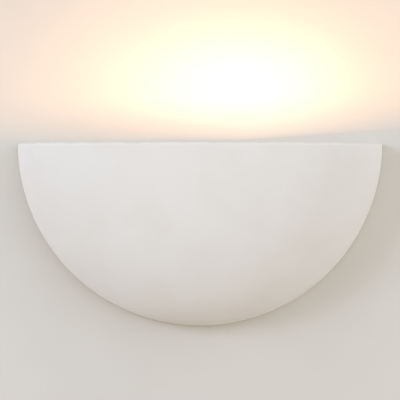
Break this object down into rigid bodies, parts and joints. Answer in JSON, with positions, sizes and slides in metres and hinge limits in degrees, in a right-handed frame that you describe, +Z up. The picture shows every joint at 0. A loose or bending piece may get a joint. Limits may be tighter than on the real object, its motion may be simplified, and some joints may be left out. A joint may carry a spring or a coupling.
{
  "type": "wall uplighter",
  "caption": "Half-moon plaster wall uplighter that lifts off its wall chassis, with a screw-in lamp lying inside the bowl.",
  "frame": {"origin": "midway between the two fixing slots of the wall strap, on the wall plane", "axes": "+Z up, +X to the right as seen from the room, +Y into the wall; the bowl stands out from the wall along -Y"},
  "size_m": [0.3598, 0.105, 0.1799],
  "materials": {
    "plaster": "matt unpainted casting plaster",
    "zinc_steel": "bright zinc plated sheet",
    "white_enamel": "satin white powder coat",
    "screw_zinc": "bright zinc plated",
    "plated_brass": "nickel plated",
    "brass": "turned",
    "spring_bronze": "rolled",
    "porcelain": "glossy clear glaze",
    "black_glass": "fused",
    "solder": "tinned",
    "lamp_white": "fine moulded",
    "opal": "frosted opal polycarbonate",
    "aluminium_board": "white solder mask",
    "phosphor": "yellow silicone",
    "green_board": "green solder mask",
    "component": "moulded",
    "nylon": "moulded",
    "blue_pvc": "extruded",
    "brown_pvc": "extruded",
    "green_yellow_pvc": "extruded, green with a yellow stripe",
    "glass_sleeve": "braided, varnished",
    "black_rubber": "moulded",
    "tinned_copper": "tinned"
  },
  "bodies": {
    "wall_side": {"wall_strap": "zinc_steel", "chassis_box": "white_enamel", "chassis_screws": "screw_zinc", "hook_right": "zinc_steel", "hook_left": "zinc_steel", "hook_rivets": "screw_zinc", "lamp_bracket": "zinc_steel", "lamp_bracket_screws": "screw_zinc", "lamp_bracket_nuts": "screw_zinc", "lampholder_body": "porcelain", "lampholder_shell": "plated_brass", "contact_strip": "spring_bronze", "lampholder_terminals": "brass", "lampholder_terminal_screws": "screw_zinc", "lampholder_screws": "screw_zinc", "terminal_block": "nylon", "terminal_tubes": "brass", "terminal_screws": "screw_zinc", "terminal_block_screws": "screw_zinc", "neutral_wire": "blue_pvc", "live_wire": "brown_pvc", "heat_sleeves": "glass_sleeve", "wire_grommet": "black_rubber", "earth_wire": "green_yellow_pvc", "earth_lug": "tinned_copper", "earth_screw": "screw_zinc", "earth_star_washer": "screw_zinc", "earth_nut": "screw_zinc"},
    "shade": {"plaster_bowl": "plaster", "bowl_inserts": "brass", "hanger_right": "zinc_steel", "hanger_left": "zinc_steel", "hanger_screws": "screw_zinc"},
    "lamp_tip": {"lamp_tip_contact": "solder"},
    "lamp": {"lamp_cap_insulator": "black_glass", "lamp_cap": "plated_brass", "lamp_housing": "lamp_white", "lamp_dome": "opal", "lamp_led_board": "aluminium_board", "lamp_leds": "phosphor", "lamp_driver_board": "green_board", "lamp_driver_parts": "component", "lamp_leads": "tinned_copper"},
    "leaf": {"contact_leaf": "spring_bronze"}
  },
  "joints": [
    {"name": "bowl_lift", "type": "slide", "parent": "wall_side", "child": "shade", "axis": [0, 0, 1], "range_m": [0, 0.014]},
    {"name": "lamp_travel", "type": "slide", "parent": "wall_side", "child": "lamp_tip", "axis": [1, 0, 0], "range_m": [0, 0.01694]},
    {"name": "lamp_turn", "type": "hinge", "parent": "lamp_tip", "child": "lamp", "pos_m": [0, -0.052, 0.019], "axis": [1, 0, 0], "range_deg": [0, 2160]},
    {"name": "leaf_spring", "type": "hinge", "parent": "wall_side", "child": "leaf", "pos_m": [-0.0234, -0.05495, 0.019], "axis": [0, 0, 1], "range_deg": [0, 8], "stiffness_Nm_per_rad": 0.12, "springref_deg": -6.88}
  ],
  "couplings": [
    {"joint": "lamp_travel", "follows": "lamp_turn", "m_per_rad": 0.00044882}
  ]
}
